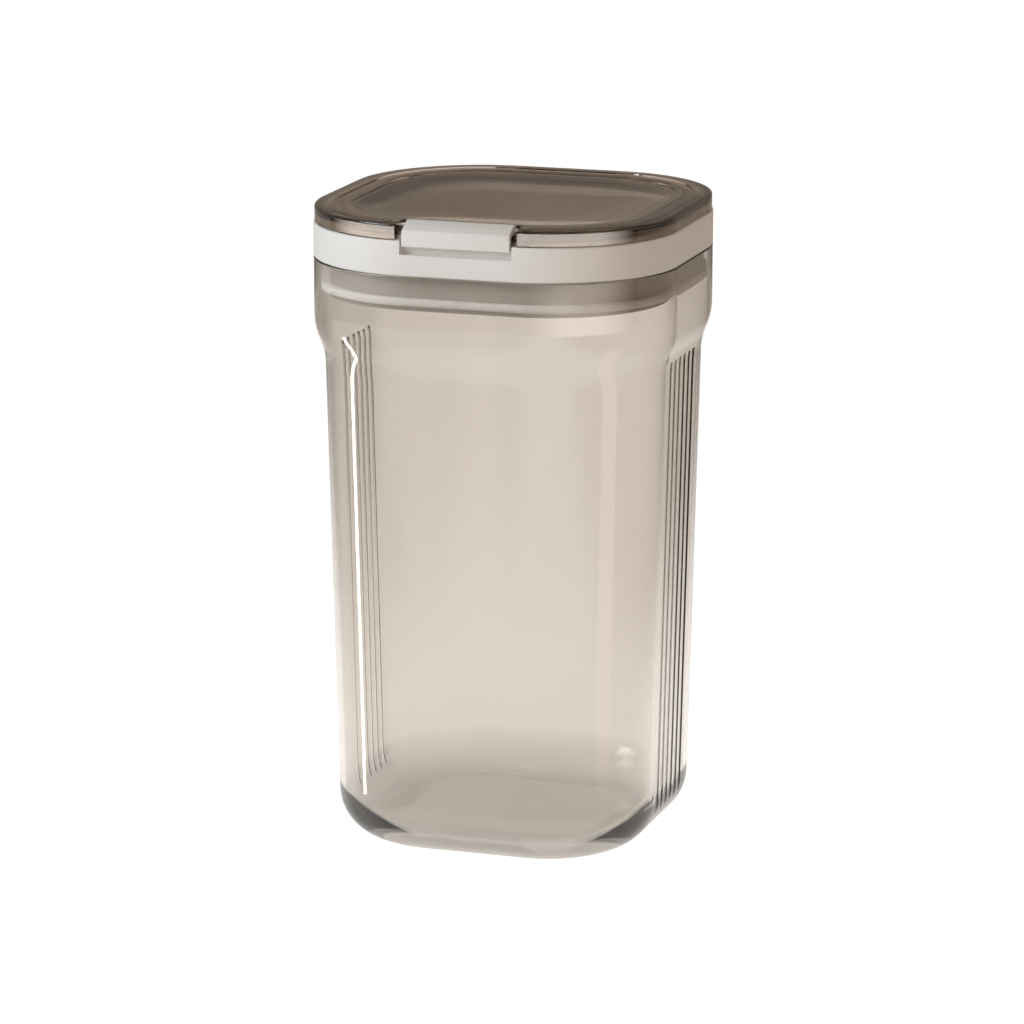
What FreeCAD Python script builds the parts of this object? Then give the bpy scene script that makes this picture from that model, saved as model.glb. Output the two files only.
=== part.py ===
import FreeCAD, Part
import math
import os
from types import SimpleNamespace

import Sketcher
from FreeCAD import Vector

# Airtight storage jar with a lift-off lid, a flip cover and a snap clip
# Millimetres, +Z up, the clip faces -Y, the origin is the middle of the base

doc = FreeCAD.newDocument("StorageJar")

# Driving dimensions
driving = {
    # Plan outline shared by the neck, the band and the cover
    "lid_side": 104.0,
    "straight_side": 30.0,
    "core_corner_radius": 4.0,
    # Clear jar
    "jar_height": 167.2,
    "neck_height": 19.6,
    "shoulder_height": 8.0,
    "shoulder_round": 17.0,
    "shoulder_inset": 2.95,
    "base_inset": 6.3,
    "base_round": 13.5,
    "jar_wall": 1.6,
    "floor_thickness": 4.0,
    "floor_round": 11.9,
    # Flutes on the two side walls
    "flute_spaces": 5,
    "flute_pitch": 4.4,
    "flute_radius": 1.2,
    "flute_depth": 0.5,
    "flute_top_drop": 0.5,
    # White band that rests on the jar's rim
    "band_height": 9.7,
    "band_edge_round": 0.5,
    "deck_thickness": 2.2,
    "pour_border": 12.0,
    "band_notch_gap": 0.5,
    "band_notch_height": 3.8,
    "band_notch_inset": 2.6,
    "bead_height": 0.6,
    "bead_reach": 0.5,
    # Grey plug inside the neck, with its seal
    "plug_gap": 1.8,
    "plug_fit": 0.05,
    "plug_wall": 3.0,
    "plug_drop": 10.0,
    "seal_height": 2.3,
    "seal_lift": 1.3,
    "seal_groove": 1.2,
    "seal_bead_round": 0.9,
    "seal_clearance": 0.2,
    # Smoky flip cover, with its gasket
    "cover_height": 4.9,
    "rim_height": 4.7,
    "rim_inset": 0.3,
    "rim_wall": 2.2,
    "rim_round": 0.8,
    "step_border": 5.8,
    "step_depth": 0.35,
    "step_slope": 0.2,
    "panel_border": 10.6,
    "panel_depth": 0.7,
    "panel_slope": 0.2,
    "panel_thickness": 1.5,
    "gasket_width": 2.6,
    "gasket_edge": 0.8,
    "gasket_round": 0.6,
    "rib_thickness": 1.2,
    "rib_clearance": 0.4,
    # Rear hinge
    "hinge_lift": 0.5,
    "hinge_pin_diameter": 2.0,
    "knuckle_diameter": 4.8,
    "cover_knuckle_width": 28.0,
    "band_knuckle_width": 7.6,
    "knuckle_gap": 0.35,
    "pin_clearance": 0.05,
    # Snap clip on the front of the cover
    "clip_width": 30.9,
    "clip_side_gap": 1.75,
    "clip_back_gap": 0.5,
    "clip_wall": 1.8,
    "clip_overlap": 1.6,
    "clip_front_height": 4.4,
    "clip_front_round": 1.1,
    "clip_edge_round": 0.4,
    "clip_barrel_diameter": 3.0,
    "clip_barrel_round": 1.35,
    "clip_pin_diameter": 1.2,
    "clip_pin_inset": 5.2,
    "clip_pin_drop": 1.2,
    "hook_reach": 0.6,
    "hook_height": 0.7,
    "ear_width": 3.0,
    "ear_cap": 0.6,
}

sheet = doc.addObject("Spreadsheet::Sheet", "Sizes")
for row, (alias, number) in enumerate(driving.items(), start=1):
    sheet.set(f"A{row}", alias)
    sheet.set(f"B{row}", str(number))
    sheet.setAlias(f"B{row}", alias)
doc.recompute()


class Size:
    # A length that carries its value and the sheet formula that gives it

    def __init__(self, value, formula):
        self.value = value
        self.formula = formula

    def joined(self, sign, other):
        if not isinstance(other, Size):
            other = Size(float(other), repr(float(other)))
        results = {
            "+": lambda: self.value + other.value,
            "-": lambda: self.value - other.value,
            "*": lambda: self.value * other.value,
            "/": lambda: self.value / other.value,
        }
        return Size(results[sign](), f"({self.formula} {sign} {other.formula})")

    def __add__(self, other):
        return self.joined("+", other)

    def __sub__(self, other):
        return self.joined("-", other)

    def __mul__(self, other):
        return self.joined("*", other)

    def __truediv__(self, other):
        return self.joined("/", other)

    def __neg__(self):
        return self.joined("*", -1.0)


size = SimpleNamespace(**{alias: Size(float(number), f"Sizes.{alias}") for alias, number in driving.items()})
zero = Size(0.0, "0.0")

# Plan half widths, from the outside in
lid_half = size.lid_side / 2
neck_bore_half = lid_half - size.jar_wall
body_top_half = lid_half - size.shoulder_inset
base_half = lid_half - size.base_inset
plug_half = neck_bore_half - size.plug_gap
pour_half = lid_half - size.pour_border
rim_half = lid_half - size.rim_inset
rim_bore_half = rim_half - size.rim_wall
step_half = lid_half - size.step_border
panel_half = lid_half - size.panel_border
gasket_inner_half = pour_half + size.gasket_edge
gasket_outer_half = gasket_inner_half + size.gasket_width
rib_outer_half = gasket_outer_half + size.rib_thickness

# Each side has a straight run between its corners
# Sections stop short of the corner centres, and a plain core fills the middle
straight_half = size.straight_side / 2
corner_radius = lid_half - straight_half
core_half = straight_half + size.core_corner_radius

# Levels, from the floor up
neck_foot = size.jar_height - size.neck_height
shoulder_foot = neck_foot - size.shoulder_height
band_top = size.jar_height + size.band_height
deck_under = band_top - size.deck_thickness
plug_bottom = size.jar_height - size.plug_drop
seal_bottom = plug_bottom + size.seal_lift
seal_top = seal_bottom + size.seal_height
cover_top = band_top + size.cover_height
rim_top = band_top + size.rim_height
step_top = cover_top - size.step_depth
panel_top = cover_top - size.panel_depth
cover_under = panel_top - size.panel_thickness

# Wall draft of the jar's body, as width lost per millimetre of drop
draft = (body_top_half - base_half) / shoulder_foot

# Hinge and clip axes, both along X
hinge_y = lid_half
hinge_z = band_top + size.hinge_lift
clip_y = size.clip_pin_inset - lid_half
clip_z = cover_top - size.clip_pin_drop

# A cut runs this far past the faces that it opens
overrun = Size(2.0, "2.0")


def origin_feature(body, role):
    return next(feature for feature in body.Origin.OriginFeatures if feature.Role == role)


def new_body(name):
    body = doc.addObject("PartDesign::Body", name)
    body.Label = name
    return body


def new_sketch(body, name, role, offset=zero):
    sketch = body.newObject("Sketcher::SketchObject", name)
    sketch.AttachmentSupport = (origin_feature(body, role), "")
    sketch.MapMode = "FlatFace"
    sketch.AttachmentOffset.Base = Vector(0, 0, offset.value)
    sketch.setExpression("AttachmentOffset.Base.z", offset.formula)
    return sketch


def place_point(sketch, geometry, position, across, up):
    for kind, length in (("DistanceX", across), ("DistanceY", up)):
        rule = sketch.addConstraint(Sketcher.Constraint(kind, -1, 1, geometry, position, length.value))
        sketch.setExpression(f"Constraints[{rule}]", length.formula)


def round_radius(sketch, geometry, radius):
    rule = sketch.addConstraint(Sketcher.Constraint("Radius", geometry, radius.value))
    sketch.setExpression(f"Constraints[{rule}]", radius.formula)


def corner_arc(before, corner, after, radius):
    # Tangent points and the anticlockwise arc that rounds one corner
    to_before = (before - corner).normalize()
    to_after = (after - corner).normalize()
    half_angle = to_before.getAngle(to_after) / 2
    back = radius / math.tan(half_angle)
    leave = corner + to_before * back
    join = corner + to_after * back
    centre = corner + (to_before + to_after).normalize() * (radius / math.sin(half_angle))
    forward = (leave - centre).cross(join - centre).z > 0
    first, last = (leave, join) if forward else (join, leave)
    start = math.atan2(first.y - centre.y, first.x - centre.x)
    sweep = (first - centre).getAngle(last - centre)
    arc = Part.ArcOfCircle(Part.Circle(centre, Vector(0, 0, 1), radius), start, start + sweep)
    return leave, join, arc, forward


def outline(body, name, role, corners, offset=zero):
    # Closed outline through corner points (across, up) or rounded ones (across, up, radius)
    sketch = new_sketch(body, name, role, offset)
    count = len(corners)
    points = [Vector(corner[0].value, corner[1].value, 0) for corner in corners]
    starts = list(points)
    ends = [points[(index + 1) % count] for index in range(count)]
    arcs = {}
    for index, corner in enumerate(corners):
        if len(corner) == 3:
            after = points[(index + 1) % count]
            leave, join, arc, forward = corner_arc(points[index - 1], points[index], after, corner[2].value)
            ends[index - 1] = leave
            starts[index] = join
            arcs[index] = (arc, forward)
    lines = [sketch.addGeometry(Part.LineSegment(start, end), False) for start, end in zip(starts, ends)]
    for index, corner in enumerate(corners):
        before, after = lines[index - 1], lines[index]
        if index in arcs:
            arc, forward = arcs[index]
            bend = sketch.addGeometry(arc, False)
            leave, join = (1, 2) if forward else (2, 1)
            sketch.addConstraint(Sketcher.Constraint("Tangent", before, 2, bend, leave))
            sketch.addConstraint(Sketcher.Constraint("Tangent", bend, join, after, 1))
            round_radius(sketch, bend, corner[2])
            tip = sketch.addGeometry(Part.Point(points[index]), True)
            sketch.addConstraint(Sketcher.Constraint("PointOnObject", tip, 1, before))
            sketch.addConstraint(Sketcher.Constraint("PointOnObject", tip, 1, after))
            place_point(sketch, tip, 1, corner[0], corner[1])
        else:
            sketch.addConstraint(Sketcher.Constraint("Coincident", before, 2, after, 1))
            place_point(sketch, after, 1, corner[0], corner[1])
    return sketch


def rectangle(body, name, role, left, right, low, high, offset=zero):
    return outline(body, name, role, [(left, low), (right, low), (right, high), (left, high)], offset)


def circle(body, name, role, across, up, radius, offset=zero):
    sketch = new_sketch(body, name, role, offset)
    ring = sketch.addGeometry(
        Part.Circle(Vector(across.value, up.value, 0), Vector(0, 0, 1), radius.value), False
    )
    place_point(sketch, ring, 3, across, up)
    round_radius(sketch, ring, radius)
    return sketch


def plan_square(body, name, half, radius, offset=zero):
    # Rounded square about the vertical axis, starting at the middle of its right side
    corners = [
        (half, zero),
        (half, half, radius),
        (-half, half, radius),
        (-half, -half, radius),
        (half, -half, radius),
    ]
    return outline(body, name, "XY_Plane", corners, offset)


def sweep_section(body, name, corners):
    # Ring whose upright section is carried round the lid's outline
    path = plan_square(body, f"{name}_path", lid_half, corner_radius)
    section = outline(body, f"{name}_section", "XZ_Plane", corners)
    ring = body.newObject("PartDesign::AdditivePipe", name)
    ring.Profile = section
    ring.Spine = (path, [])
    doc.recompute()
    return ring


def pad(body, name, sketch, length, middle=False):
    feature = body.newObject("PartDesign::Pad", name)
    feature.Profile = sketch
    feature.Midplane = middle
    feature.Length = length.value
    feature.setExpression("Length", length.formula)
    doc.recompute()
    return feature


def pocket(body, name, sketch, length, middle=False, forward=False):
    # Cut along the sketch's normal if forward, against it otherwise, or both ways from the middle
    before = body.Shape.Volume
    feature = body.newObject("PartDesign::Pocket", name)
    feature.Profile = sketch
    feature.Midplane = middle
    feature.Reversed = forward
    feature.Length = length.value
    feature.setExpression("Length", length.formula)
    doc.recompute()
    if body.Shape.Volume >= before:
        raise RuntimeError(f"{name} removes nothing")
    return feature


def cylinder_pin(name, diameter, length, y, z):
    # Round pin along X, centred on the jar's middle plane
    pin = doc.addObject("Part::Cylinder", name)
    pin.Label = name
    pin.setExpression("Radius", (diameter / 2).formula)
    pin.setExpression("Height", length.formula)
    pin.setExpression("Placement.Base.x", (-length / 2).formula)
    pin.setExpression("Placement.Base.y", y.formula)
    pin.setExpression("Placement.Base.z", z.formula)
    pin.setExpression("Placement.Rotation.Axis.x", "0")
    pin.setExpression("Placement.Rotation.Axis.y", "1")
    pin.setExpression("Placement.Rotation.Axis.z", "0")
    pin.setExpression("Placement.Rotation.Angle", "90")
    return pin


def make_jar_body():
    body = new_body("jar_body")
    floor_half = base_half + draft * size.floor_thickness - size.jar_wall
    sweep_section(body, "jar_wall_sweep", [
        (core_half, zero),
        (base_half, zero, size.base_round),
        (body_top_half, shoulder_foot, size.shoulder_round),
        (lid_half, neck_foot, size.shoulder_round),
        (lid_half, size.jar_height),
        (neck_bore_half, size.jar_height),
        (neck_bore_half, neck_foot, size.shoulder_round),
        (body_top_half - size.jar_wall, shoulder_foot, size.shoulder_round),
        (floor_half, size.floor_thickness, size.floor_round),
        (core_half, size.floor_thickness),
    ])
    middle = plan_square(body, "jar_floor_outline", core_half, size.core_corner_radius)
    pad(body, "jar_floor", middle, size.floor_thickness)
    cut_flutes(body, "right", 1.0)
    cut_flutes(body, "left", -1.0)
    return body


def cut_flutes(body, side, sign):
    # A first flute runs down the drafted side wall and dies out in the base rounding, then repeats along Y
    flute_top = shoulder_foot - size.flute_top_drop
    flute_out = size.flute_radius - size.flute_depth
    row_width = size.flute_spaces * size.flute_pitch
    first_y = -row_width / 2
    top_x = (base_half + draft * flute_top + flute_out) * sign
    low_x = (base_half + flute_out) * sign
    line = new_sketch(body, f"flute_line_{side}", "XZ_Plane", -first_y)
    start = Vector(top_x.value, flute_top.value, 0)
    axis = line.addGeometry(Part.LineSegment(start, Vector(low_x.value, 0, 0)), False)
    place_point(line, axis, 1, top_x, flute_top)
    place_point(line, axis, 2, low_x, zero)
    end = circle(body, f"flute_end_{side}", "XY_Plane", top_x, first_y, size.flute_radius, flute_top)
    flute = body.newObject("PartDesign::SubtractivePipe", f"flute_{side}")
    flute.Profile = end
    flute.Spine = (line, ["Edge1"])
    doc.recompute()

    row = body.newObject("PartDesign::LinearPattern", f"flute_row_{side}")
    row.Originals = [flute]
    row.Direction = (origin_feature(body, "Y_Axis"), [""])
    row.setExpression("Length", row_width.formula)
    row.setExpression("Occurrences", (size.flute_spaces + 1).formula)
    body.Tip = row
    doc.recompute()


def make_lid_band():
    body = new_body("lid_band")
    skirt_bore_half = plug_half + size.plug_fit
    sweep_section(body, "band_ring", [
        (skirt_bore_half, size.jar_height),
        (lid_half, size.jar_height, size.band_edge_round),
        (lid_half, band_top, size.band_edge_round),
        (pour_half, band_top),
        (pour_half, deck_under),
        (skirt_bore_half, deck_under),
    ])

    # Notch behind the clip, with the bead that the clip's hook catches under
    notch_back = lid_half - size.band_notch_inset
    notch_floor = band_top - size.band_notch_height
    notch_half = size.clip_width / 2 + size.band_notch_gap
    notch = rectangle(body, "band_notch_outline", "XZ_Plane", -notch_half, notch_half,
                      notch_floor, band_top + overrun, notch_back)
    pocket(body, "band_notch", notch, size.band_notch_inset + overrun, forward=True)
    bead_foot = band_top - size.bead_height
    bead_section = outline(body, "catch_bead_outline", "YZ_Plane", [
        (-notch_back, bead_foot),
        (-notch_back, band_top),
        (-notch_back - size.bead_reach, band_top),
    ])
    pad(body, "catch_bead", bead_section, size.clip_width - size.clip_wall, middle=True)

    # Hinge barrel along the back, opened in the middle for the cover's knuckle
    knuckle_radius = size.knuckle_diameter / 2
    gap_width = size.cover_knuckle_width + size.knuckle_gap * 2
    barrel_width = gap_width + size.band_knuckle_width * 2
    barrel = circle(body, "band_barrel_end", "YZ_Plane", hinge_y, hinge_z, knuckle_radius)
    pad(body, "band_barrel", barrel, barrel_width, middle=True)
    reach = knuckle_radius + size.knuckle_gap
    gap = rectangle(body, "band_barrel_gap_outline", "YZ_Plane", hinge_y - reach, hinge_y + reach + overrun,
                    hinge_z - reach, hinge_z + reach + overrun)
    pocket(body, "band_barrel_gap", gap, gap_width, middle=True)
    bore_radius = size.hinge_pin_diameter / 2 + size.pin_clearance
    bore = circle(body, "band_bore_end", "YZ_Plane", hinge_y, hinge_z, bore_radius)
    pocket(body, "band_bore", bore, barrel_width + overrun, middle=True)
    return body


def make_neck_plug():
    body = new_body("neck_plug")
    bore_half = plug_half - size.plug_wall
    groove_half = plug_half - size.seal_groove
    sweep_section(body, "plug_ring", [
        (bore_half, plug_bottom),
        (plug_half, plug_bottom),
        (plug_half, seal_bottom),
        (groove_half, seal_bottom),
        (groove_half, seal_top),
        (plug_half, seal_top),
        (plug_half, deck_under),
        (bore_half, deck_under),
    ])
    return body


def make_neck_seal():
    body = new_body("neck_seal")
    seal_half = neck_bore_half - size.seal_clearance
    sweep_section(body, "seal_ring", [
        (plug_half - size.seal_groove, seal_bottom),
        (seal_half, seal_bottom, size.seal_bead_round),
        (seal_half, seal_top, size.seal_bead_round),
        (plug_half - size.seal_groove, seal_top),
    ])
    return body


def make_flip_cover():
    body = new_body("flip_cover")
    rib_foot = band_top + size.rib_clearance
    sweep_section(body, "cover_border", [
        (core_half, cover_under),
        (gasket_inner_half - size.rib_thickness, cover_under),
        (gasket_inner_half - size.rib_thickness, rib_foot),
        (gasket_inner_half, rib_foot),
        (gasket_inner_half, cover_under),
        (gasket_outer_half, cover_under),
        (gasket_outer_half, rib_foot),
        (rib_outer_half, rib_foot),
        (rib_outer_half, cover_under),
        (rim_bore_half, cover_under, size.rim_round),
        (rim_bore_half, band_top),
        (rim_half, band_top),
        (rim_half, rim_top, size.rim_round),
        (step_half + size.step_slope, cover_top),
        (step_half, step_top),
        (panel_half + size.panel_slope, step_top),
        (panel_half, panel_top),
        (core_half, panel_top),
    ])
    middle = plan_square(body, "cover_panel_outline", core_half, size.core_corner_radius, cover_under)
    pad(body, "cover_panel", middle, size.panel_thickness)

    # Front notch that the clip sits in, between two ears that hold its pin
    notch_half = size.clip_width / 2 + size.clip_side_gap
    notch_back = lid_half - size.clip_pin_inset - size.clip_barrel_diameter / 2 - size.clip_back_gap
    ear_front = lid_half - size.clip_pin_inset + size.clip_barrel_diameter / 2
    ear_foot = clip_z - size.clip_barrel_diameter / 2
    ear = rectangle(body, "clip_ear_outline", "YZ_Plane", -ear_front, -rib_outer_half, ear_foot, cover_under)
    pad(body, "clip_ears", ear, (notch_half + size.ear_width) * 2, middle=True)
    notch = rectangle(body, "cover_notch_outline", "XZ_Plane", -notch_half, notch_half,
                      band_top - overrun, cover_top + overrun, notch_back)
    pocket(body, "cover_notch", notch, lid_half - notch_back + overrun, forward=True)
    pin_radius = size.clip_pin_diameter / 2 + size.pin_clearance
    pin_hole = circle(body, "clip_pin_hole_end", "YZ_Plane", clip_y, clip_z, pin_radius)
    pocket(body, "clip_pin_hole", pin_hole, (notch_half + size.ear_width - size.ear_cap) * 2, middle=True)

    # Rear relief round the band's knuckles, and the cover's own knuckle on its arm
    knuckle_radius = size.knuckle_diameter / 2
    relief_width = size.cover_knuckle_width + (size.knuckle_gap * 2 + size.band_knuckle_width) * 2
    relief = circle(body, "hinge_relief_end", "YZ_Plane", hinge_y, hinge_z, knuckle_radius + size.knuckle_gap)
    pocket(body, "hinge_relief", relief, relief_width, middle=True)
    arm_top = hinge_z + knuckle_radius + size.knuckle_gap * 2
    arm = rectangle(body, "knuckle_arm_outline", "YZ_Plane", rim_bore_half, hinge_y, hinge_z, arm_top)
    pad(body, "knuckle_arm", arm, size.cover_knuckle_width, middle=True)
    knuckle = circle(body, "cover_knuckle_end", "YZ_Plane", hinge_y, hinge_z, knuckle_radius)
    pad(body, "cover_knuckle", knuckle, size.cover_knuckle_width, middle=True)
    bore_radius = size.hinge_pin_diameter / 2 + size.pin_clearance
    bore = circle(body, "cover_bore_end", "YZ_Plane", hinge_y, hinge_z, bore_radius)
    pocket(body, "cover_bore", bore, size.cover_knuckle_width + overrun, middle=True)
    return body


def make_cover_gasket():
    body = new_body("cover_gasket")
    sweep_section(body, "gasket_ring", [
        (gasket_inner_half, cover_under),
        (gasket_inner_half, band_top, size.gasket_round),
        (gasket_outer_half, band_top, size.gasket_round),
        (gasket_outer_half, cover_under),
    ])
    return body


def make_snap_clip():
    body = new_body("snap_clip")
    barrel_radius = size.clip_barrel_diameter / 2
    front = -lid_half
    inside = front + size.clip_wall
    low = band_top - size.clip_overlap
    shoulder = low + size.clip_front_height
    barrel_top = clip_z + barrel_radius
    barrel_foot = clip_z - barrel_radius
    barrel_back = clip_y + barrel_radius
    section = outline(body, "clip_section", "YZ_Plane", [
        (front, low),
        (front, shoulder, size.clip_front_round),
        (clip_y - barrel_radius / 2, barrel_top),
        (barrel_back, barrel_top, size.clip_barrel_round),
        (barrel_back, barrel_foot, size.clip_barrel_round),
        (inside, barrel_foot),
        (inside, low + size.hook_height),
        (inside + size.hook_reach, low + size.hook_height - size.hook_reach / 2),
        (inside + size.hook_reach, low),
    ])
    plate = pad(body, "clip_plate", section, size.clip_width, middle=True)

    # Ease the outer edges at the two ends
    end_x = size.clip_width.value / 2
    edges = []
    for index, edge in enumerate(plate.Shape.Edges, start=1):
        box = edge.BoundBox
        at_end = abs(abs(box.Center.x) - end_x) < 1e-6 and box.XLength < 1e-6
        outer = box.YMin < front.value + 1e-6 or box.ZMax > shoulder.value + 1e-6
        if at_end and outer and box.Center.z > low.value + 1e-6 and box.Center.y < clip_y.value:
            edges.append(f"Edge{index}")
    ease = body.newObject("PartDesign::Fillet", "clip_end_rounds")
    ease.Base = (plate, edges)
    ease.setExpression("Radius", size.clip_edge_round.formula)
    doc.recompute()

    bore_radius = size.clip_pin_diameter / 2 + size.pin_clearance
    bore = circle(body, "clip_bore_end", "YZ_Plane", clip_y, clip_z, bore_radius)
    pocket(body, "clip_bore", bore, size.clip_width + overrun, middle=True)
    return body


def make_pins():
    gap_width = size.cover_knuckle_width + size.knuckle_gap * 2
    hinge_length = gap_width + size.band_knuckle_width * 2
    ear_hole = size.clip_width / 2 + size.clip_side_gap + size.ear_width - size.ear_cap
    return [
        cylinder_pin("hinge_pin", size.hinge_pin_diameter, hinge_length, hinge_y, hinge_z),
        cylinder_pin("clip_pin", size.clip_pin_diameter, ear_hole * 2, clip_y, clip_z),
    ]


pieces = [
    make_jar_body(),
    make_lid_band(),
    make_neck_plug(),
    make_neck_seal(),
    make_flip_cover(),
    make_cover_gasket(),
    make_snap_clip(),
]
pieces += make_pins()
doc.recompute()

faults = [item.Name for item in doc.Objects if {"Invalid", "Error"} & set(item.State)]
faults += [piece.Label for piece in pieces if piece.Shape.isNull() or not piece.Shape.isValid()]
faults += [piece.Label for piece in pieces if len(piece.Shape.Solids) != 1]
if faults:
    raise RuntimeError("failed: " + ", ".join(faults))

os.makedirs("parts", exist_ok=True)
for piece in pieces:
    piece.Shape.exportStep(f"parts/{piece.Label}.step")
    box = piece.Shape.optimalBoundingBox()
    spans = f"{box.XLength:.2f} x {box.YLength:.2f} x {box.ZLength:.2f} mm"
    print(f"{piece.Label}: {spans}, from z {box.ZMin:.2f}, {piece.Shape.Volume / 1000:.2f} cm3")
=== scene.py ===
import math

import bmesh
import bpy
import numpy as np
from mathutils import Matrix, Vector


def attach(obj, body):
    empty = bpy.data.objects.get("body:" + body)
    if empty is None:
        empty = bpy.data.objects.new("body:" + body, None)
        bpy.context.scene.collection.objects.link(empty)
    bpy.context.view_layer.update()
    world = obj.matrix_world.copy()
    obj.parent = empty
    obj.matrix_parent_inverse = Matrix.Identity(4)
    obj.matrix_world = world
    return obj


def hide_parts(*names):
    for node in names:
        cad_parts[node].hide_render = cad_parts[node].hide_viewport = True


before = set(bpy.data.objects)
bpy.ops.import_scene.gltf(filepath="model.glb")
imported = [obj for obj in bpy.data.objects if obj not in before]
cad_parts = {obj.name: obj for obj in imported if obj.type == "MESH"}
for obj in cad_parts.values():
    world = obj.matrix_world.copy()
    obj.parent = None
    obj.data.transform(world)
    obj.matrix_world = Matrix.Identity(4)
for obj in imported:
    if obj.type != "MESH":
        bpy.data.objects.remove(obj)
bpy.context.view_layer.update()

# Airtight storage jar: every wall is a section carried round one rounded-square path
# Section points are (half width, level) in millimetres, and meshes are in metres
mm = 0.001

lidPlan = {
    "half": 52.0,             # middle to the outside of the lid
    "straightHalf": 15.0,     # half of each side's straight run
    "stationsPerSide": 96,
}
sides = {"right": 0, "back": 1, "left": 2, "front": 3}    # quarter turns from +X
tiny = 1e-6
hair = 0.01


def wallStations(along, half):
    # Path positions of points this far along a wall of this half width, from its side's middle
    straight = lidPlan["straightHalf"]
    beyond = np.maximum(np.abs(along) - straight, 0) * (lidPlan["half"] - straight) / (half - straight)
    return np.sign(along) * (np.minimum(np.abs(along), straight) + beyond)


def planPath(extra=None):
    # Each side runs from corner middle to corner middle: a straight run with a turn of 45 degrees at each end
    # Returns the core square's points, the wall's normals, the side numbers and positions along the side
    straight = lidPlan["straightHalf"]
    radius = lidPlan["half"] - straight
    reach = straight + radius * math.pi / 4
    core, normal, number, along = [], [], [], []
    for side, turns in sides.items():
        plain = np.linspace(-reach, reach, lidPlan["stationsPerSide"], endpoint=False)
        station = np.union1d(plain, (extra or {}).get(side, []))
        angle = np.sign(station) * np.maximum(np.abs(station) - straight, 0) / radius
        spin = turns * math.pi / 2
        turn = np.array([[math.cos(spin), math.sin(spin)], [-math.sin(spin), math.cos(spin)]])
        inRun = np.clip(station, -straight, straight)
        flat = np.column_stack([np.full(len(station), straight), inRun])
        core.append(flat @ turn)
        normal.append(np.column_stack([np.cos(angle), np.sin(angle)]) @ turn)
        number.append(np.full(len(station), turns))
        along.append(station)
    return np.vstack(core), np.vstack(normal), np.concatenate(number), np.concatenate(along)


def bothWays(edges):
    return np.concatenate([-edges, edges])


def roundedSection(corners, closed=True, step=7.0):
    # Walks corner points (half, level, radius, degrees between points)
    # A corner with a radius becomes an arc tangent to both of its edges
    points = np.array([corner[:2] for corner in corners], float)
    walk = []
    for index, corner in enumerate(corners):
        inside = closed or 0 < index < len(corners) - 1
        if len(corner) < 3 or not inside:
            walk.append(points[index][None])
            continue
        here = points[index]
        toBefore = points[index - 1] - here
        toAfter = points[(index + 1) % len(corners)] - here
        toBefore, toAfter = toBefore / np.hypot(*toBefore), toAfter / np.hypot(*toAfter)
        halfAngle = math.acos(np.clip(toBefore @ toAfter, -1, 1)) / 2
        bisector = (toBefore + toAfter) / np.hypot(*(toBefore + toAfter))
        centre = here + bisector * corner[2] / math.sin(halfAngle)
        first = here + toBefore * corner[2] / math.tan(halfAngle) - centre
        start = math.atan2(first[1], first[0])
        hand = toAfter[0] * toBefore[1] - toAfter[1] * toBefore[0]
        bend = math.copysign(math.pi - 2 * halfAngle, hand)
        ownStep = corner[3] if len(corner) > 3 else step
        count = max(3, int(abs(math.degrees(bend)) / ownStep) + 2)
        angles = start + np.linspace(0, bend, count)
        walk.append(centre + corner[2] * np.column_stack([np.cos(angles), np.sin(angles)]))
    return np.vstack(walk)


def carry(half, level, path):
    # Point = core square's point + wall normal x (half width - straight half)
    # Inside the core the square shrinks to the axis instead
    core, normal = path[:2]
    straight = lidPlan["straightHalf"]
    half, level = np.broadcast_arrays(half, level, np.zeros((1, len(core))))[:2]
    shrink = np.minimum(half / straight, 1)[..., None]
    grow = np.maximum(half - straight, 0)[..., None]
    return np.concatenate([core * shrink + normal * grow, level[..., None]], axis=-1)


def tubeAlongX(xs, outer, inner, centre, count=72):
    # Ring about an axis along X: outer(angle) going one way along the tube, the plain bore coming back
    angles = np.linspace(0, 2 * math.pi, count, endpoint=False)
    ease = 0.2
    x = np.array([xs[0], xs[0] + ease, xs[1] - ease, xs[1], xs[1], xs[0]])[:, None]
    pull = np.array([ease, 0, 0, ease, 0, 0])[:, None]
    isOuter = np.array([1, 1, 1, 1, 0, 0])[:, None]
    radius = isOuter * (outer(angles)[None] - pull) + (1 - isOuter) * inner
    return np.stack([
        np.broadcast_to(x, radius.shape),
        centre[0] + radius * np.cos(angles),
        centre[1] + radius * np.sin(angles),
    ], axis=-1)


def gridFaces(rows, columns, closed):
    # One four-sided face for each cell, wrapping along the columns, and along the rows if closed
    row = np.arange(rows if closed else rows - 1)[:, None]
    column = np.arange(columns)[None]
    nextRow, nextColumn = (row + 1) % rows, (column + 1) % columns
    corners = [
        row * columns + column, row * columns + nextColumn,
        nextRow * columns + nextColumn, nextRow * columns + column,
    ]
    return np.stack(np.broadcast_arrays(*corners), axis=-1).reshape(-1, 4)


meshing = {"weld": 0.002, "speck": 0.001, "sharp": 32.0}


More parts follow.
